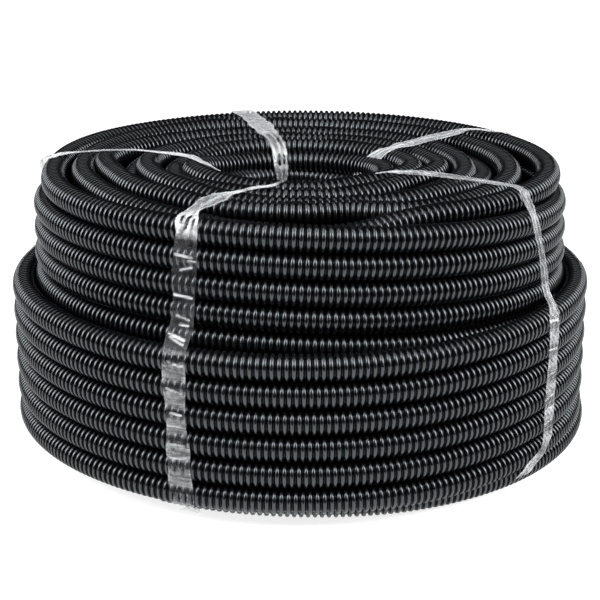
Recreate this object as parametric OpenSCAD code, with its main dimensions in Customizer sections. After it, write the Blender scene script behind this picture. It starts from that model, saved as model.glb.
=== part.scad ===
// Coil of black corrugated conduit, wound in nested layers round an open
// bore and held by five bands of clear film. The coil lies flat: +Z is its
// axis, and the origin is the centre of its underside, where the bands
// meet the floor. All lengths are millimetres.

/* [Conduit] */
// Outside diameter of the conduit, over its corrugation crests
conduit_od = 20; // [16:0.5:25]
// How far the crests of neighbouring turns sink into each other's grooves
interlock = 0.5; // [0.3:0.1:1.5]

/* [Winding] */
// Diameter of the open bore, between the crests of the innermost turns
bore_d = 114; // [90:1:200]
// Number of full-height layers, from the bore outwards
layers = 9; // [7:2:11]
// Number of turns in the tallest layers, from the floor up
rows = 11; // [8:1:13]
// Number of turns in the last layer, which stops at the shoulder
shoulder_rows = 6; // [3:1:7]
// Extra room under the last layer, which was wound on more loosely
shoulder_slack = 5; // [1:0.5:6]

/* [Bands] */
// Thickness of the film where it is drawn together over the turns
band_t = 0.4; // [0.3:0.1:1]
// Gap between the film and the crests that it passes over
band_gap = 0.3; // [0.2:0.05:0.5]
// Width of the band at the front left
front_left_w = 20; // [10:1:30]
// Its direction, in degrees round the axis
front_left_at = 248; // [225:1:260]
// Width of the band at the front right
front_right_w = 14; // [8:1:30]
// Its direction
front_right_at = 328; // [310:1:345]
// Width of the band at the back right
back_right_w = 14; // [8:1:30]
// Its direction
back_right_at = 45; // [25:1:65]
// Width of the band at the back left
back_left_w = 17; // [8:1:30]
// Its direction
back_left_at = 103; // [90:1:120]
// Width of the band at the left, which is drawn together almost to a cord
left_w = 10; // [6:1:30]
// Its direction
left_at = 171; // [150:1:185]

/* [Hidden] */

turn_r = conduit_od / 2;
// Neighbouring turns lie this far apart, centre to centre, and nest in the
// hollows of the layer below like stacked rods.
turn_pitch = conduit_od - interlock;
layer_pitch = turn_pitch * sin(60);

first_z = band_t + band_gap + turn_r;
outer = layers - 1;
outer_r = turn_radius(outer);
top_z = turn_z(0, rows - 1);
shoulder_r = outer_r + layer_pitch + shoulder_slack;
shoulder_low_z = first_z + turn_pitch / 2;
shoulder_top_z = shoulder_low_z + (shoulder_rows - 1) * turn_pitch;

// The innermost layer has a turn fewer too. It is spread out a little, and
// ends half a turn under the top.
bore_rows = rows - 1;
bore_top_z = top_z - turn_pitch / 2;
bore_pitch = (bore_top_z - first_z) / (bore_rows - 1);

// Long enough to cut clean through the whole coil on one side of its axis
reach = shoulder_r + conduit_od;

// Radius of the centre line of a layer's turns, layer 0 at the bore
function turn_radius(layer) = bore_d / 2 + turn_r + layer * layer_pitch;

// Every second layer sits half a turn higher, and has one turn fewer.
function is_raised(layer) = layer % 2 == 1;
function turns_in(layer) = is_raised(layer) ? rows - 1 : rows;
function turn_z(layer, row) =
    first_z + (row + (is_raised(layer) ? 0.5 : 0)) * turn_pitch;

function lowest(layer) = [turn_radius(layer), turn_z(layer, 0)];
function highest(layer) = [turn_radius(layer), turn_z(layer, turns_in(layer) - 1)];

// The last turns lie side by side over the top end. They hide the nested
// layers below, from the second one to the last but two.
lid_from = turn_radius(1);
lid_to = turn_radius(outer - 2);
lid_gaps = floor((lid_to - lid_from) / turn_pitch);
lid_turns = [for (gap = [lid_gaps:-1:0])
    [lid_from + (lid_to - lid_from) * gap / lid_gaps, top_z]];

// Centres of the turns at the skin of the coil, in its half section
bottom_turns = [for (layer = [0:outer]) lowest(layer)];
bore_turns = [for (row = [0:bore_rows - 1])
    [turn_radius(0), first_z + row * bore_pitch]];
bore_top = bore_turns[bore_rows - 1];
top_turns = concat([highest(outer), highest(outer - 1)], lid_turns, [bore_top]);
side_turns = [for (row = [0:rows - 1]) if (turn_z(outer, row) > shoulder_top_z)
    [outer_r, turn_z(outer, row)]];
shoulder_turns = [for (row = [0:shoulder_rows - 1])
    [shoulder_r, shoulder_low_z + row * turn_pitch]];

// The film is drawn tight over these turns only, and bridges the rest.
taut_over = [lowest(0), lowest(outer), shoulder_turns[0],
             shoulder_turns[shoulder_rows - 1], highest(outer),
             lid_turns[lid_gaps], bore_top];

module at_each(places) {
    for (place = places) translate(place) children();
}

// Half section of the coil. The turns that show are round; those inside
// are one plain core that runs from centre to centre of the outer ones.
module coil_section() {
    at_each(concat(bottom_turns, shoulder_turns, side_turns, top_turns, bore_turns))
        circle(r = turn_r, $fn = 48);
    polygon(concat(bottom_turns, shoulder_turns, side_turns, top_turns));
}

module conduit_coil() {
    color([0.05, 0.05, 0.06])
        rotate_extrude($fn = 180) coil_section();
}

// Outline of a string pulled tight round the coil's section, at a distance
module taut_outline(distance) {
    hull() at_each(taut_over) circle(r = turn_r + distance, $fn = 48);
}

// One loop of film through the bore and over the outside. It is turned
// with the coil and then cut to its width, so it lies flat on the turns.
module film_band(direction, width) {
    // This is past the band's edges where it is closest to the axis, at the bore.
    sweep = 1.5 * asin(width / bore_d);
    color([0.85, 0.87, 0.9, 0.5])
        rotate(direction)
            intersection() {
                rotate_extrude(angle = 2 * sweep, start = -sweep, $fn = 180)
                    difference() {
                        taut_outline(band_gap + band_t);
                        taut_outline(band_gap);
                    }
                translate([0, -width / 2, -turn_r])
                    cube([reach, width, top_z + 2 * conduit_od]);
            }
}

module band_front_left() { film_band(front_left_at, front_left_w); }
module band_front_right() { film_band(front_right_at, front_right_w); }
module band_back_right() { film_band(back_right_at, back_right_w); }
module band_back_left() { film_band(back_left_at, back_left_w); }
module band_left() { film_band(left_at, left_w); }

conduit_coil();
band_front_left();
band_front_right();
band_back_right();
band_back_left();
band_left();
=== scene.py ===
import math

import bpy
import numpy as np
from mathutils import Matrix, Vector


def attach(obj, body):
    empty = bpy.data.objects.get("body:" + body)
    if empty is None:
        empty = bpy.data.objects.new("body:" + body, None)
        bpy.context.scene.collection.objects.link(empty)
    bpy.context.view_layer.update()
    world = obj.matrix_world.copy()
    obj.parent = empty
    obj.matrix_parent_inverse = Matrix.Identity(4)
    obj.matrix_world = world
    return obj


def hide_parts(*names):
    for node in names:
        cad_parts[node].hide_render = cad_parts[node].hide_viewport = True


# A coil of black corrugated conduit, tied with bands of clear stretch film.
# The tall inner coil stands in a lower, wider one, the shoulder. Lengths are
# in metres and angles round the coil are in degrees, 0 at +X and 90 at +Y.

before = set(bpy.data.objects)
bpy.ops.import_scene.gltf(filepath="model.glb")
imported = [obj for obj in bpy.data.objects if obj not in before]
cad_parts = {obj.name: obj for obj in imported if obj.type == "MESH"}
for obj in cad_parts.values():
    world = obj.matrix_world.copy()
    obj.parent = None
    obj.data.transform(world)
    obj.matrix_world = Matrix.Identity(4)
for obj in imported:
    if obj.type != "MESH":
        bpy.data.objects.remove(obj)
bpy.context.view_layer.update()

# ---------------------------------------------------------------- dimensions
CONDUIT_OD = 0.020
TUBE = CONDUIT_OD / 2
CORRUGATION = 0.0049
GROOVE_DEPTH = 0.0021
ROW_PITCH = 0.0194
SHOULDER_PITCH = 0.0199
FIRST_Z = 0.0107
TOP_Z = 0.2059
BORE_R = 0.067
OUTER_R = 0.2025
SHOULDER_R = 0.2238
SHOULDER_ROWS = 6
UPPER_ROWS = 5
# The film: half its thickness, its height on the floor, how closely it is cut where it shows
# and where it doesn't, and where and how far it touches each of the shoulder's turns.
SKIN = 0.00015
FILM_FLOOR = 0.00035
SHOWN_STEP = 0.001
HIDDEN_STEP = 0.006
TOUCH_Z = 0.0235
TOUCH_REACH = 0.0042
SHOULDER_TOP = 0.125
FOLD_WIDTH = 0.0006
FOLD_HEIGHT = 0.0008
MM = 0.001


# ------------------------------------------------------------------ helpers
def smoothstep(value, start, end):
    t = np.clip((value - start) / (end - start), 0, 1)
    return t * t * (3 - 2 * t)


def through(knots, values, at):
    """A smooth curve through uneven knots: cubic Hermite pieces with finite-difference slopes."""
    knots = np.asarray(knots, float)
    values = np.asarray(values, float)
    slopes = np.gradient(values, knots, axis=0)
    i = np.clip(np.searchsorted(knots, at, side="right") - 1, 0, len(knots) - 2)
    step = knots[i + 1] - knots[i]
    u = (at - knots[i]) / step
    if values.ndim == 2:
        step = step[:, None]
        u = u[:, None]
    return (
        (2 * u**3 - 3 * u**2 + 1) * values[i]
        + (u**3 - 2 * u**2 + u) * step * slopes[i]
        + (3 * u**2 - 2 * u**3) * values[i + 1]
        + (u**3 - u**2) * step * slopes[i + 1]
    )


def new_mesh(name, vertices, faces, smooth=True):
    """An object from arrays. faces is one array of quads, or a list of arrays of equal-sided faces."""
    if not isinstance(faces, list):
        faces = [faces]
    loops = np.concatenate([f.ravel() for f in faces]).astype(np.int32)
    sizes = np.concatenate([np.full(len(f), f.shape[1]) for f in faces]).astype(np.int32)
    starts = np.concatenate([[0], np.cumsum(sizes)[:-1]]).astype(np.int32)
    mesh = bpy.data.meshes.new(name)
    mesh.vertices.add(len(vertices))
    mesh.vertices.foreach_set("co", np.ascontiguousarray(vertices, np.float32).ravel())
    mesh.loops.add(len(loops))
    mesh.loops.foreach_set("vertex_index", loops)
    mesh.polygons.add(len(sizes))
    mesh.polygons.foreach_set("loop_start", starts)
    mesh.polygons.foreach_set("loop_total", sizes)
    mesh.update(calc_edges=True)
    mesh.validate()
    mesh.polygons.foreach_set("use_smooth", np.full(len(mesh.polygons), smooth))
    obj = bpy.data.objects.new(name, mesh)
    bpy.context.scene.collection.objects.link(obj)
    return obj


def add_attribute(obj, name, kind, domain, values):
    """A value for each point or face of a mesh, for its material to read."""
    layer = obj.data.attributes.new(name, kind, domain)
    key = "vector" if kind == "FLOAT_VECTOR" else "value"
    layer.data.foreach_set(key, np.ascontiguousarray(values, np.float32).ravel())


# ---------------------------------------------------------------- the conduit
# One corrugation from the middle of a groove, with 5 or 3 rings: where each ring lies, how
# deep it lies, and how much reflection the strip after it keeps. The walls and floor of the
# groove keep little of it: painted shade, standing in for the shade that falls in the groove.
WAVE = {
    5: ([0.13, 0.27, 0.50, 0.73, 0.87], [1.0, 0.20, 0.0, 0.20, 1.0], [0.05, 1, 1, 0.05, 0.15]),
    3: ([0.0, 0.27, 0.73], [1.0, 0.05, 0.05], [0.2, 1, 0.2]),
}


def section_angles(sides, seen):
    """Angles round the tube from its seen side: close together there, two more behind."""
    front = np.radians(np.linspace(-seen / 2, seen / 2, sides - 2))
    hidden = np.radians((360 - seen) / 3)
    return np.concatenate([front, [front[-1] + hidden, front[-1] + 2 * hidden]])


def centre_line(angles, radii, heights, leans):
    """A line round the coil, as points, with the way its seen side leans at each."""
    a = np.radians(angles)
    return np.stack([radii * np.cos(a), radii * np.sin(a), heights, leans], -1)


def corrugated(names, line, sides=15, seen=230, rings=5):
    """A corrugated tube along a centre line, in one piece or several that share their end rings.

    The lean turns the seen side from straight out (0) to straight up (90) or in (180).
    """
    run = np.concatenate([[0], np.cumsum(np.linalg.norm(np.diff(line[:, :3], axis=0), axis=1))])
    waves = int(run[-1] / CORRUGATION)
    phases, depths, groove_shading = WAVE[rings]
    at = (np.arange(waves)[:, None] + np.array(phases)[None, :]).ravel() * CORRUGATION
    depth = np.tile(depths, waves) * GROOVE_DEPTH
    centre = np.stack([np.interp(at, run, line[:, i]) for i in range(3)], -1)
    lean = np.radians(np.interp(at, run, line[:, 3]))
    along = np.gradient(centre, at, axis=0)
    along /= np.linalg.norm(along, axis=1, keepdims=True)
    out = centre * [1, 1, 0]
    out /= np.linalg.norm(out, axis=1, keepdims=True)
    facing = out * np.cos(lean)[:, None] + np.array([0, 0, 1.0]) * np.sin(lean)[:, None]
    facing -= along * np.sum(facing * along, axis=1, keepdims=True)
    facing /= np.linalg.norm(facing, axis=1, keepdims=True)
    side = np.cross(along, facing)
    turn = section_angles(sides, seen)
    ring = facing[:, None, :] * np.cos(turn)[None, :, None]
    ring = ring + side[:, None, :] * np.sin(turn)[None, :, None]
    points = centre[:, None, :] + ring * (TUBE - depth)[:, None, None]
    pieces = []
    share = math.ceil(waves / len(names)) * rings
    for i, name in enumerate(names):
        part = points[i * share : (i + 1) * share + 1]
        index = np.arange(part.shape[0] * sides).reshape(-1, sides)
        right = np.roll(index, -1, axis=1)
        quads = np.stack([index[:-1], right[:-1], right[1:], index[1:]], -1).reshape(-1, 4)
        ends = [index[0][::-1][None, :], index[-1][None, :]]
        obj = new_mesh(name, part.reshape(-1, 3), [quads] + ends)
        # Painted shade: each face on a groove's wall or floor keeps only a little of its reflection.
        groove_shade = np.resize(np.repeat(groove_shading, sides), len(quads) + len(ends))
        add_attribute(obj, "groove_shade", "FLOAT", "FACE", groove_shade)
        pieces.append(obj)
    return pieces


def fine(start, end, step=1.0):
    return np.linspace(start, end, int((end - start) / step) + 1)


def through_stations(stations):
    """A centre line through stations of angle, radius and height over the top in mm, and lean."""
    table = np.array(stations, float)
    at = fine(table[0, 0], table[-1, 0])
    values = through(table[:, 0], table[:, 1:], at)
    return centre_line(at, values[:, 0] * MM, TOP_Z + values[:, 1] * MM, values[:, 2])


# Top of the inner turns, from the bore outwards: angle, radius, height over the top, lean.
INNER_SPIRAL = [
    (-60, 67, -12, 140), (0, 69, -6, 120), (45, 69, -9, 120), (90, 68, -9.8, 130),
    (130, 73, -9, 120), (150, 76, -7, 110), (170, 83, -3, 90), (188, 86, 0, 90),
    (205, 84, 0.5, 90), (225, 82, 0, 90), (270, 82, 0, 100), (290, 80, 0, 90),
    (306, 78, 0, 90), (330, 84, 0, 90), (356, 90, 0, 90), (378, 85, 0, 90),
    (400, 80, 0, 90), (450, 77, 0, 90), (475, 82, 0, 90), (495, 88, -0.5, 90),
    (515, 94, -3, 90), (538, 100, -5, 90), (560, 103, -4, 90), (585, 104, -1, 90),
    (610, 104.5, 0, 90), (650, 105, 0, 90), (666, 102, 0, 90), (680, 99, 0, 90),
    (697, 103, 0, 90), (716, 111, 0, 90), (735, 107, 0, 90), (770, 101, 0, 90),
    (810, 100, 0, 90), (837, 108, 0, 90), (858, 114, 0, 90), (878, 121, 0, 90),
    (895, 123, 1.5, 90), (920, 121.5, 2.5, 90), (945, 122, 2.5, 90),
    (965, 125, 0, 90), (990, 126, -1, 90), (1010, 127, -1.5, 90), (1024, 134, -1, 90),
    (1040, 136, -1, 90), (1060, 142, -5, 90), (1080, 148, -9, 90), (1125, 147, -9.8, 90),
    (1170, 146, -9.8, 90), (1215, 142, -9.8, 90), (1245, 138, -9.8, 90),
    (1262, 136, -12, 90), (1285, 134, -20, 90),
]
OUTER_SPIRAL = [
    (285, 122, -18, 90), (300, 124, -9, 90), (312, 127, -4, 90), (324, 132, -1, 90),
    (345, 133, 0, 90), (360, 132, 0, 90), (405, 129, 0, 90), (450, 126.5, 0, 90),
    (478, 134, 0, 90), (495, 146, 0, 90), (520, 160, 0, 90), (532, 161, 0, 90),
    (542, 155, 1, 90), (556, 149, 2, 90), (575, 148.5, 2.5, 90), (590, 147, 2.5, 90),
    (605, 149, 1, 90), (630, 146.5, 0, 90), (645, 147, 0, 90), (652, 156, 0, 90),
    (660, 163, 0, 90), (671, 168, 0, 90), (690, 168.5, 0, 90), (720, 168, 0, 90),
    (765, 167, 0, 90), (810, 166, 0, 90), (840, 178, 0, 90), (855, 180, 0, 90),
    (880, 178, 0, 90), (900, 175, 0, 90), (926, 172, 0, 90), (945, 176, -0.5, 90),
    (960, 178, -2.5, 90), (975, 181, -6, 90), (990, 183, -9, 90), (1005, 182, -6, 90),
    (1013, 180, -2, 85), (1020, 181, 0, 80), (1034, 186, 0, 70), (1055, 194, 0, 60),
    (1080, 199.6, 0, 50), (1125, 198, 0, 50), (1170, 198, 0, 50), (1203, 197.5, 0, 50),
    (1230, 200, 0, 50), (1260, 197, 0, 50), (1290, 199, 0, 50), (1320, 202, 0, 50),
]


def upper_rows():
    """The tall coil's outer rows: each falls one row across the front, from its left to its right."""
    start = OUTER_SPIRAL[-1][0]
    at = fine(start, start + 360 * UPPER_ROWS - 30)
    turn = (at - start) / 360
    fall = np.floor((at - 1320) / 360) + smoothstep((at - 1320) % 360, 8, 122)
    radii = np.interp(turn, [0, 0.2, 5], [0.202, 0.2035, 0.2055])
    heights = TOP_Z - ROW_PITCH * fall
    leans = np.interp(turn, [0, 0.6, 1.2], [50, 30, 5])
    return centre_line(at, radii, heights, leans)


def lower_rows():
    """The shoulder: a foot turn that comes out from under the coil at the front left, then
    level turns that climb one row at the hidden back.
    """
    foot, free, climbed, end = -118, 118, 130, 82
    at = fine(foot, end + 360 * SHOULDER_ROWS)
    turn = (at - climbed) / 360
    row = np.maximum(np.floor(turn) + smoothstep(turn % 1, 280 / 360, 1), 0)
    bulge = 0.004 * np.exp(-(((at % 360 - 270) / 45) ** 2))
    level = 0.0192 + SHOULDER_PITCH * row + 0.0035 * smoothstep(at % 360, 290, 335)
    level += 0.0005 * row * (1 - smoothstep(at % 360, 200, 250))
    tucked = through([foot, -90, -70, -50, free, 400], [0.011, 0.009, 0.004, 0.001, 0, 0], at)
    raised = smoothstep(at, free, 235)
    heights = FIRST_Z + (level - FIRST_Z) * raised
    radii = SHOULDER_R + bulge * raised - tucked * (at < free)
    return centre_line(at, radii, heights, np.zeros_like(at))


def bottom_rows():
    """The underside: one spiral of turns, every second one half a turn higher."""
    layers = 9
    step = (OUTER_R - BORE_R) / (layers - 1)
    at = fine(-300, 360 * layers - 320, 2.0)
    turn = at / 360
    layer = np.clip(np.floor(turn), 0, layers - 1)
    cross = smoothstep(turn - np.floor(turn), 0.86, 1)
    into = np.minimum(layer + cross, layers - 1)
    radii = BORE_R + step * into
    odd = 0.5 - 0.5 * np.cos(np.pi * into)
    heights = FIRST_Z + ROW_PITCH / 2 * odd
    return centre_line(at, radii, heights, np.full_like(at, -90.0))


def bore_rows():
    """The bore's wall: one helix from the floor up to the first turn on top."""
    rows = 9.5
    at = fine(-60 - 360 * rows, -60, 2.0)
    heights = np.interp(at, [at[0], at[-1]], [FIRST_Z + 0.004, TOP_Z - 0.012])
    return centre_line(at, np.full_like(at, BORE_R), heights, np.full_like(at, 180.0))


outer_line = np.concatenate([through_stations(OUTER_SPIRAL), upper_rows()[1:]])
conduit = [
    *corrugated(["conduit_top_inner"], through_stations(INNER_SPIRAL), sides=16, seen=260),
    *corrugated(["conduit_top_outer", "conduit_upper_rows"], outer_line, sides=16, seen=250),
    *corrugated(["conduit_shoulder_low", "conduit_shoulder_high"], lower_rows()),
    *corrugated(["conduit_underside"], bottom_rows(), sides=11, seen=200, rings=3),
    *corrugated(["conduit_bore"], bore_rows(), sides=11, seen=200, rings=3),
]


def revolved(name, outline, steps=96):
    """A closed solid of revolution from an outline of radius and height."""
    a = np.linspace(0, 2 * math.pi, steps, endpoint=False)
    r = np.array([p[0] for p in outline])
    z = np.array([p[1] for p in outline])
    points = np.stack(
        [np.outer(np.cos(a), r), np.outer(np.sin(a), r), np.tile(z, (steps, 1))], -1
    )
    count = len(outline)
    index = np.arange(steps * count).reshape(steps, count)
    nxt = np.roll(index, -1, axis=0)
    quads = np.stack([index, nxt, np.roll(nxt, -1, axis=1), np.roll(index, -1, axis=1)], -1)
    return new_mesh(name, points.reshape(-1, 3), quads.reshape(-1, 4), smooth=False)


SINK = 0.004
core = revolved(
    "conduit_hidden_turns",
    [
        (BORE_R + SINK, FIRST_Z + SINK + 0.006),
        (OUTER_R, FIRST_Z + SINK + 0.006),
        (SHOULDER_R - SINK, FIRST_Z + SINK),
        (SHOULDER_R - SINK, 0.118),
        (OUTER_R - SINK, 0.118),
        (OUTER_R - SINK, TOP_Z - 0.024),
        (OUTER_R - 0.022, TOP_Z - 0.016),
        (BORE_R + SINK, TOP_Z - 0.016),
    ],
)
conduit.append(core)


# ---------------------------------------------------------------- the film bands
# Each band is a loop of stretch film: down the wall from the top's rim, under the coil, up
# through the bore and back over the top. A station holds an angle, radius and height in mm,
# the band's width and how deep it crumples in mm, its haze, and which way it is creased:
# 1 is straight across it, 0 is along it, as in a twisted rope.
# The skin that the film lies on down the outside, as radius and height in mm:
RIM_TO_FOOT = [
    (203, 216.4), (207.5, 214.6), (211.2, 211.6), (213.6, 207.5), (214.7, 202), (215.5, 188),
    (216, 172), (217.4, 155), (222.5, 140), (230.5, 131.5), (236.8, 121), (238, 108),
    (238.2, 80), (238.2, 45), (238, 32), (236.6, 24), (235.2, 17), (234, 11), (229, 4),
]


def wall(path):
    """The stations down the outside, from a path of height, angle, width, crumple, haze and
    crease way, from the foot up.
    """
    heights, *columns = np.array(path, float).T
    stations = []
    for r, z in RIM_TO_FOOT:
        angle, *film_values = [np.interp(z, heights, column) for column in columns]
        stations.append((angle, r, z, *film_values))
    return stations


def floor_and_bore(low, inner, width, crumple):
    """The stations along the floor to the bore and up its wall."""
    flat = [(low, 216), (low, 190), (low, 130), (inner, 80), (inner, 64)]
    upright = [(57.6, 8), (56.0, 30), (56.0, 120), (56.0, 178)]
    return [(angle, r, FILM_FLOOR / MM, width, 0.0, 0.3, 0.5) for angle, r in flat] + [
        (inner, r, z, width, crumple, 0.35, 0.3) for r, z in upright
    ]


BANDS = {
    "band_front_left": wall([
        (0, 249.2, 18, 0.5, 0.16, 1), (20, 249.0, 18, 0.6, 0.16, 1),
        (60, 248.9, 17.5, 0.7, 0.17, 1), (118, 248.6, 17, 0.8, 0.17, 1),
        (128, 248.3, 17, 1.0, 0.03, 1), (172, 248.3, 16, 0.5, 0.012, 1),
        (203, 248.9, 16, 0.7, 0.03, 0.8), (207.5, 248.9, 15, 1.6, 0.45, 0.5),
        (214, 248.4, 15, 2.4, 0.95, 0.5), (217, 247.6, 12, 1.5, 0.7, 0.3),
    ])
    + floor_and_bore(248.8, 262, 10, 0.8)
    + [
        (263, 60, 192, 5, 0.9, 0.2, 0), (263, 69, 205, 4, 0.9, 0.12, 0),
        (262, 78, 214, 4, 0.8, 0.1, 0), (260.5, 98, 217.8, 4, 0.6, 0.1, 0),
        (258, 108, 217.6, 6, 0.6, 0.7, 0), (254, 113, 217.4, 7, 0.6, 0.6, 0),
        (251, 124, 217.6, 4, 0.8, 0.2, 0), (249.2, 134, 218, 6, 1.2, 0.5, 0),
        (247.8, 140, 218, 12, 1.6, 0.45, 0),
        (247, 144, 218, 17, 2.2, 0.28, 0), (246.6, 158, 218, 20, 2.4, 0.2, 0),
        (247.2, 176, 217.8, 15, 2.0, 0.2, 0), (247.4, 191, 217.6, 10, 1.4, 0.35, 0.1),
    ],
    "band_front_right": wall([
        (0, 313, 10, 0.4, 0.3, 0.7), (10, 314.9, 10, 0.4, 0.3, 0.7),
        (17, 318.1, 10, 0.5, 0.3, 0.7), (25, 321.0, 11, 0.6, 0.3, 0.7),
        (31, 321.2, 13.5, 0.7, 0.24, 0.8), (63, 321.6, 13.5, 0.7, 0.22, 0.8),
        (83, 321.9, 12.5, 0.7, 0.22, 0.8), (120, 322.5, 12, 1.2, 0.24, 0.8),
        (134, 325.8, 9, 1.8, 0.3, 0.2), (150, 327.4, 11, 0.8, 0.1, 0),
        (168, 326.6, 11, 0.8, 0.1, 0), (188, 324.4, 10, 0.8, 0.12, 0),
        (197, 323.4, 6, 1.2, 0.4, 0), (205, 322.2, 11, 1.2, 0.18, 0),
        (211, 321.7, 13, 1.2, 0.14, 0), (215, 322.7, 10, 1.2, 0.2, 0),
        (217, 324.9, 8, 1.0, 0.3, 0),
    ])
    + floor_and_bore(314, 321, 8, 0.8)
    + [
        (321, 60, 192, 6, 0.8, 0.5, 0), (320, 68, 205, 5, 0.8, 0.5, 0),
        (318, 79, 214.5, 5, 0.8, 0.6, 0), (318.5, 90, 217.4, 6, 0.8, 0.7, 0),
        (323, 97, 217.6, 16, 1.6, 0.3, 0), (325.6, 106, 217.6, 18, 1.6, 0.24, 0),
        (326.6, 128, 217.6, 13, 1.0, 0.2, 0), (326.6, 154, 217.6, 12.5, 0.8, 0.2, 0),
        (326.4, 178, 217.4, 10, 0.8, 0.25, 0), (326.3, 192, 217.3, 8, 0.9, 0.3, 0),
    ],
    "band_back_right": wall([
        (0, 32, 13, 0.7, 0.3, 1), (190, 30, 13, 0.7, 0.3, 1), (217, 29, 5, 0.8, 0.5, 0.2),
    ])
    + floor_and_bore(32, 37, 12, 0.8)
    + [
        (37.5, 59.5, 188, 14, 1.0, 0.4, 0), (35, 61.5, 196, 14, 1.2, 0.4, 0),
        (31, 65.5, 204, 15, 1.4, 0.4, 0), (26, 70, 210, 16, 1.4, 0.4, 0),
        (23, 76, 214.8, 15, 1.2, 0.45, 0), (22.8, 84, 217, 13, 0.8, 0.6, 0),
        (26.5, 103, 217.3, 16, 0.5, 0.42, 0.3), (31.2, 129.5, 217.3, 17, 0.4, 0.42, 0.4),
        (34.1, 157, 217.3, 16, 0.4, 0.4, 0.3), (35.7, 180, 217.3, 8, 0.6, 0.4, 0),
        (33, 189, 217.4, 5, 0.8, 0.5, 0), (29, 196, 217.3, 5, 0.8, 0.5, 0),
    ],
    "band_back_left": wall([
        (0, 104, 17, 0.7, 0.3, 1), (190, 105, 18, 0.5, 0.4, 1), (217, 105.5, 19, 0.4, 0.6, 0.2),
    ])
    + floor_and_bore(104, 105.5, 10, 0.8)
    + [
        (105.5, 57, 190, 11, 1.0, 0.08, 0.4), (105.4, 59, 197, 13, 2.0, 0.5, 0.4),
        (105.3, 62, 203, 14, 2.2, 0.9, 0.4), (105.5, 66, 209, 13, 1.2, 0.3, 0.1),
        (106, 73, 214, 16, 1.0, 0.14, 0), (107.2, 82, 217.4, 18, 0.6, 0.14, 0),
        (107.6, 90, 218.2, 19, 0.4, 0.42, 0.8), (106.4, 110, 218.2, 19, 0.3, 0.45, 0.9),
        (105.4, 145, 217.8, 19, 0.3, 0.42, 0.9), (105.4, 180, 217.4, 19, 0.3, 0.36, 0.9),
    ],
    "band_left": wall([
        (0, 168, 10, 0.7, 0.2, 0.6), (190, 168, 8, 0.6, 0.2, 0.3), (212, 176, 7, 1.0, 0.4, 0.2),
        (217, 181, 7, 1.6, 0.7, 0.2),
    ])
    + floor_and_bore(168, 217, 7, 0.8)
    + [
        (218, 60, 192, 6, 0.9, 0.5, 0), (216, 66, 206, 6, 0.9, 0.5, 0),
        (208, 75, 214.4, 6, 0.9, 0.5, 0), (196, 81, 217.2, 7, 0.9, 0.45, 0),
        (185, 88, 218, 8, 0.9, 0.42, 0), (178, 103, 218.2, 7, 0.9, 0.45, 0),
        (175.3, 118, 218.2, 5, 0.8, 0.4, 0), (173.3, 132, 218.2, 5, 0.7, 0.35, 0),
        (173.4, 148, 218, 5, 0.7, 0.3, 0), (174.1, 164, 217.6, 5, 0.7, 0.3, 0),
        (175.9, 180, 217.4, 5, 0.7, 0.3, 0), (178.6, 195, 217.3, 8, 1.2, 0.5, 0),
    ],
}

# Sharp folds across a band's wall: height and tilt in mm, where each starts and ends across
# the band from -0.5 to 0.5, and how white it is: partly the fold's own whitening and partly a
# painted highlight along it.
FOLDS = {
    "band_front_left": [
        (190, -0.5, -0.5, 0.35, 0.9), (187, 1.5, 0.1, 0.5, 0.6), (181, 7, -0.2, 0.35, 0.6),
        (161.5, -1.5, -0.5, 0.4, 1.0), (147, -4, -0.3, 0.3, 0.4), (142.5, -1, -0.1, 0.3, 0.7),
        (135, -4, -0.5, 0.3, 1.0), (133, -6, -0.4, 0.3, 0.7), (119, -4, -0.4, 0.4, 0.7),
        (99, -5, -0.4, 0.35, 0.5), (82, -1, -0.3, 0.35, 0.7), (73, 0.5, -0.5, 0.35, 0.5),
        (59, 0, -0.3, 0.3, 0.45), (49, 1, -0.4, 0.3, 0.5), (28, 0, -0.3, 0.4, 0.35),
        (20, 0, -0.25, 0.4, 0.6),
    ],
    "band_front_right": [
        (124, 4, -0.5, 0.5, 0.8), (103, 0, -0.5, 0.5, 0.7), (84, 1, -0.4, 0.5, 0.5),
        (66, 5, -0.5, 0.5, 0.7), (57, 2, -0.5, 0.5, 0.7), (46, 3, -0.4, 0.4, 0.5),
    ],
}


def wander(run, knots_every, size, generator):
    """A smooth random line that comes back to its start, with a knot every so many metres."""
    knots = max(4, int(run[-1] / knots_every))
    values = generator.normal(0, size, knots)
    values[-1] = values[0]
    return through(np.linspace(0, run[-1], knots), values, run)


def film_steps(table, run):
    """Where to cut the loop: closely where it shows, widely on the floor and in the bore."""
    every = np.arange(0, run[-1], SHOWN_STEP)
    r = np.interp(every, run, table[:, 1])
    z = np.interp(every, run, table[:, 2])
    out_of_sight = (z < 3) | ((r < 58) & (z < 180))
    skip = int(HIDDEN_STEP / SHOWN_STEP)
    return every[~out_of_sight | (np.arange(len(every)) % skip == 0)]


def loop_sides(centre):
    """Which way is across a loop and which way is out, at each of its points."""
    along = np.roll(centre, -1, axis=0) - np.roll(centre, 1, axis=0)
    along /= np.linalg.norm(along, axis=1, keepdims=True)
    turn = np.arctan2(centre[:, 1], centre[:, 0])
    wide = np.stack([-np.sin(turn), np.cos(turn), np.zeros(len(centre))], -1)
    wide -= along * np.sum(wide * along, axis=1, keepdims=True)
    wide /= np.linalg.norm(wide, axis=1, keepdims=True)
    # The loop runs down, in, up and out, so this is its outer side all the way round.
    return wide, np.cross(wide, along)


def crumpled(at, v, crumple, generator):
    """How far the film stands off the turns: three sets of pleats and a fine roughness."""
    lift = np.zeros((len(at), v.shape[1]))
    for pleats in (1.3, 2.4, 4.1):
        phase = wander(at, 0.045, 1.6, generator)[:, None]
        height = 0.45 + 0.35 * wander(at, 0.02, 0.8, generator)[:, None]
        lift += height / pleats**0.5 * np.cos(2 * np.pi * pleats * v + phase)
    lift += 0.3 * generator.normal(0, 1, lift.shape)
    lowest, highest = -1.2, 1.6
    return (np.clip(lift, lowest, highest) - lowest) * 0.5 * crumple


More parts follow.
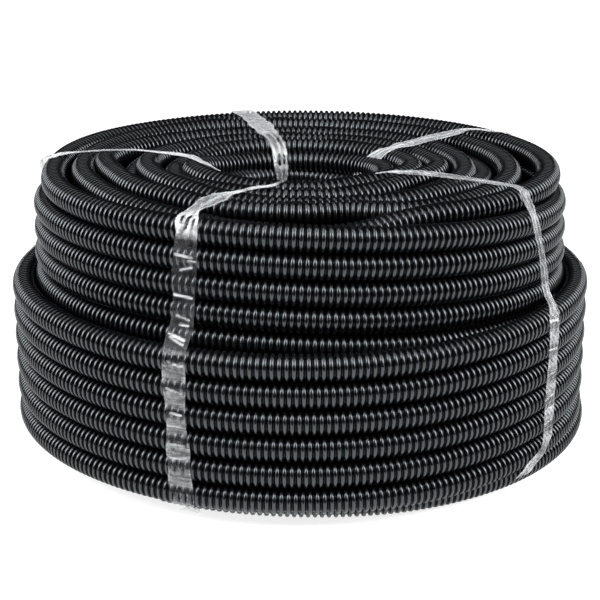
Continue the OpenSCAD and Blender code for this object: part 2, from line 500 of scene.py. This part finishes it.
def milkiness(at, v, height, haze, crease, generator):
    """How milky the film is: it clears in ragged patches where it lies on the shoulder's turns."""
    row = np.round((height - TOUCH_Z) / SHOULDER_PITCH)
    off = height - TOUCH_Z - row * SHOULDER_PITCH
    off = off + 0.0012 * np.sin(14 * v + 5 * row) + 0.0008 * np.sin(31 * v + 2 * row)
    patch = np.exp(-((off / TOUCH_REACH) ** 4)) * crease * (height < SHOULDER_TOP)
    # Its edges are whiter, and where it is drawn along it gathers into a few threads.
    threads = 0 * v
    for rest in (-0.42, 0.02, 0.4):
        away = v - rest - 0.06 * wander(at, 0.03, 1.0, generator)[:, None]
        threads = np.maximum(threads, np.exp(-((away / 0.08) ** 2)))
    flat = 0.85 + 0.6 * np.abs(2 * v) ** 6
    gathered = 0.6 + 1.3 * threads
    return haze * (1 - 0.9 * patch) * (crease * flat + (1 - crease) * gathered)


def sharp_folds(name, centre, v):
    """How white a band's sharp folds are, partly as painted highlights along them, and how far they
    stand up, over its surface.
    """
    height = centre[:, 2:3]
    on_wall = (np.linalg.norm(centre[:, :2], axis=1)[:, None] > OUTER_R) & (height > MM)
    white = np.zeros((len(centre), v.shape[1]))
    lift = np.zeros_like(white)
    for middle, tilt, start, end, white_and_glint in FOLDS.get(name, []):
        off = (height - (middle + tilt * v) * MM) / FOLD_WIDTH
        sharp = np.exp(-(off**2)) * (v > start) * (v < end) * on_wall
        white = np.maximum(white, white_and_glint * sharp)
        lift += FOLD_HEIGHT * sharp
    return white, lift


def film(name, stations, seed, across=15):
    """A closed loop of crumpled film with a real thickness."""
    generator = np.random.default_rng(seed)
    table = np.array(stations + stations[:1], float)
    a = np.radians(table[:, 0])
    knots = np.stack([table[:, 1] * np.cos(a), table[:, 1] * np.sin(a), table[:, 2]], -1) * MM
    run = np.concatenate([[0], np.cumsum(np.linalg.norm(np.diff(knots, axis=0), axis=1))])
    at = film_steps(table, run)
    centre = through(run, knots, at)
    centre[:, 2] = np.maximum(centre[:, 2], FILM_FLOOR)
    wide, out = loop_sides(centre)
    width, crumple, haze, crease = (
        np.interp(at, run, table[:, i])[:, None] for i in range(3, 7)
    )
    v = np.linspace(-0.5, 0.5, across)[None, :]
    lift = crumpled(at, v, crumple * MM, generator)
    edge = 1 + 0.08 * wander(at, 0.012, 1.0, generator)[:, None]
    offset = v * width * MM * edge + wander(at, 0.06, 0.0006, generator)[:, None]
    milky = milkiness(at, v, centre[:, 2:3], haze, crease, generator)
    # The folds' white lines, partly painted highlights, go into the film's haze.
    white, ridges = sharp_folds(name, centre, v)
    milky = np.maximum(milky, white)
    surface = (
        centre[:, None, :]
        + wide[:, None, :] * offset[:, :, None]
        + out[:, None, :] * (lift + ridges)[:, :, None]
    )
    outer, inner = surface + out[:, None, :] * SKIN, surface - out[:, None, :] * SKIN
    loop = np.concatenate([outer, inner[:, ::-1]], axis=1)
    index = np.arange(len(at) * 2 * across).reshape(len(at), -1)
    nxt = np.roll(index, -1, axis=0)
    quads = np.stack([index, np.roll(index, -1, 1), np.roll(nxt, -1, 1), nxt], -1)
    obj = new_mesh(name + "_film", loop.reshape(-1, 3), quads.reshape(-1, 4))
    # Creases run across the strip where it is folded and along it where it is twisted.
    stretch = np.cumsum(np.diff(at, prepend=0) * (90 + 240 * crease[:, 0]))[:, None]
    place = np.stack([stretch + 0 * v, offset * (480 - 400 * crease), seed + 0 * offset], -1)
    place = np.concatenate([place, place[:, ::-1]], axis=1)
    add_attribute(obj, "strip", "FLOAT_VECTOR", "POINT", place)
    milky = np.concatenate([milky, milky[:, ::-1]], axis=1)
    add_attribute(obj, "haze", "FLOAT", "POINT", milky)
    return obj


films = {
    name: film(name, stations, seed) for seed, (name, stations) in enumerate(BANDS.items(), 20)
}


# ------------------------------------------------------------------ materials
def principled(name, **values):
    material = bpy.data.materials.new(name)
    material.use_nodes = True
    shader = material.node_tree.nodes["Principled BSDF"]
    for key, value in values.items():
        shader.inputs[key.replace("_", " ")].default_value = value
    return material, shader


def conduit_material():
    """Black, satin plastic, with painted shade on the walls and floors of the grooves: a per-face
    value turns their reflection down.
    """
    material, shader = principled("black_conduit", Roughness=0.22)
    shader.inputs["Base Color"].default_value = (0.003, 0.003, 0.0036, 1)
    shader.inputs["Specular Tint"].default_value = (0.88, 0.95, 1.0, 1)
    nodes, links = material.node_tree.nodes, material.node_tree.links
    # Painted shade in the grooves: this per-face value sets how much each face reflects.
    groove_shade = nodes.new("ShaderNodeAttribute")
    groove_shade.attribute_name = "groove_shade"
    links.new(groove_shade.outputs["Fac"], shader.inputs["Specular IOR Level"])
    return material


def film_material():
    """Clear stretch film, milky where it is bunched up, and whiter along its creases, partly from the
    film's own whitening and partly as painted highlights.
    """
    material, shader = principled("stretch_film", Roughness=0.2)
    shader.inputs["Base Color"].default_value = (0.82, 0.84, 0.86, 1)
    nodes, links = material.node_tree.nodes, material.node_tree.links
    place = nodes.new("ShaderNodeAttribute")
    place.attribute_name = "strip"
    # Crease streaks raise the film's haze: partly the film's own whitening, partly painted highlights
    # where its folds would catch the light.
    creases_and_glints = nodes.new("ShaderNodeTexNoise")
    creases_and_glints.inputs["Scale"].default_value = 1.0
    creases_and_glints.inputs["Detail"].default_value = 4.0
    links.new(place.outputs["Vector"], creases_and_glints.inputs["Vector"])
    contrast = nodes.new("ShaderNodeMapRange")
    contrast.inputs["From Min"].default_value = 0.36
    contrast.inputs["From Max"].default_value = 0.66
    contrast.inputs["To Min"].default_value = 0.45
    contrast.inputs["To Max"].default_value = 1.55
    links.new(creases_and_glints.outputs["Fac"], contrast.inputs["Value"])
    # The haze attribute also holds the sharp folds' white lines, which are partly painted highlights.
    milk = nodes.new("ShaderNodeAttribute")
    milk.attribute_name = "haze"
    haze = nodes.new("ShaderNodeMath")
    haze.operation = "MULTIPLY"
    haze.use_clamp = True
    links.new(contrast.outputs["Result"], haze.inputs[0])
    links.new(milk.outputs["Fac"], haze.inputs[1])
    links.new(haze.outputs["Value"], shader.inputs["Alpha"])
    return material


clear = film_material()
for node, piece in films.items():
    piece.data.materials.append(clear)
    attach(piece, "root")
    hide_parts(node)

black = conduit_material()
for piece in conduit:
    piece.data.materials.append(black)
    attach(piece, "root")
    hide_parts("conduit_coil")


# ------------------------------------------------------------------ stage
def floor():
    """A pale floor that gives some light of its own, so that it reads as plain white."""
    size, front = 12, 1.1
    obj = new_mesh(
        "floor",
        np.array([(-size, -front, 0), (size, -front, 0), (size, size, 0), (-size, size, 0)], float),
        np.array([[0, 1, 2, 3]]),
        smooth=False,
    )
    material, shader = principled("floor", Roughness=0.9)
    shader.inputs["Base Color"].default_value = (0.4, 0.4, 0.4, 1)
    shader.inputs["Specular IOR Level"].default_value = 0.0
    shader.inputs["Emission Color"].default_value = (1, 1, 1, 1)
    shader.inputs["Emission Strength"].default_value = 0.82
    obj.data.materials.append(material)
    return obj


def softbox(name, size, place, target, power):
    light = bpy.data.lights.new(name, "AREA")
    light.shape = "RECTANGLE"
    light.size, light.size_y = size
    light.energy = power
    obj = bpy.data.objects.new(name, light)
    obj.location = place
    obj.rotation_mode = "QUATERNION"
    obj.rotation_quaternion = (Vector(target) - Vector(place)).to_track_quat("-Z", "Y")
    bpy.context.scene.collection.objects.link(obj)
    return obj


def overhead(power, elevation, angle):
    """A broad, soft light from above and in front, as from a large ceiling softbox."""
    light = bpy.data.lights.new("overhead", "SUN")
    light.energy = power
    light.angle = math.radians(angle)
    obj = bpy.data.objects.new("overhead", light)
    e = math.radians(elevation)
    obj.rotation_mode = "QUATERNION"
    toward = Vector((0, math.cos(e), -math.sin(e)))
    obj.rotation_quaternion = toward.to_track_quat("-Z", "Y")
    bpy.context.scene.collection.objects.link(obj)
    return obj


ground = floor()
lights = [
    overhead(1.3, 80, 60),
    softbox("left_softbox", (2.2, 1.2), (-1.9, -0.1, 1.15), (0, 0, 0.2), 46),
    softbox("right_softbox", (2.2, 1.2), (1.9, -0.1, 1.15), (0, 0, 0.2), 46),
    softbox("left_key", (0.8, 0.8), (-1.3, -1.0, 1.6), (0, 0, 0.1), 14),
    softbox("right_key", (0.8, 0.8), (1.3, -1.0, 1.6), (0, 0, 0.1), 14),
]

world = bpy.data.worlds.new("studio")
world.use_nodes = True
world.node_tree.nodes["Background"].inputs["Color"].default_value = (1, 1, 1, 1)
world.node_tree.nodes["Background"].inputs["Strength"].default_value = 0.02
bpy.context.scene.world = world
bpy.context.scene.view_settings.view_transform = "Standard"


# ------------------------------------------------------------------ camera
def camera():
    """The photograph's view: a long lens, a little above the coil."""
    data = bpy.data.cameras.new("camera")
    data.lens = 90.4
    data.sensor_width = 36
    obj = bpy.data.objects.new("camera", data)
    target = Vector((0, 0, 0.094))
    elevation, distance = math.radians(17.94), 1.2548
    back = Vector((0, -math.cos(elevation), math.sin(elevation)))
    obj.location = target + back * distance
    obj.rotation_mode = "QUATERNION"
    obj.rotation_quaternion = (-back).to_track_quat("-Z", "Y")
    bpy.context.scene.collection.objects.link(obj)
    bpy.context.scene.camera = obj
    return obj


camera()
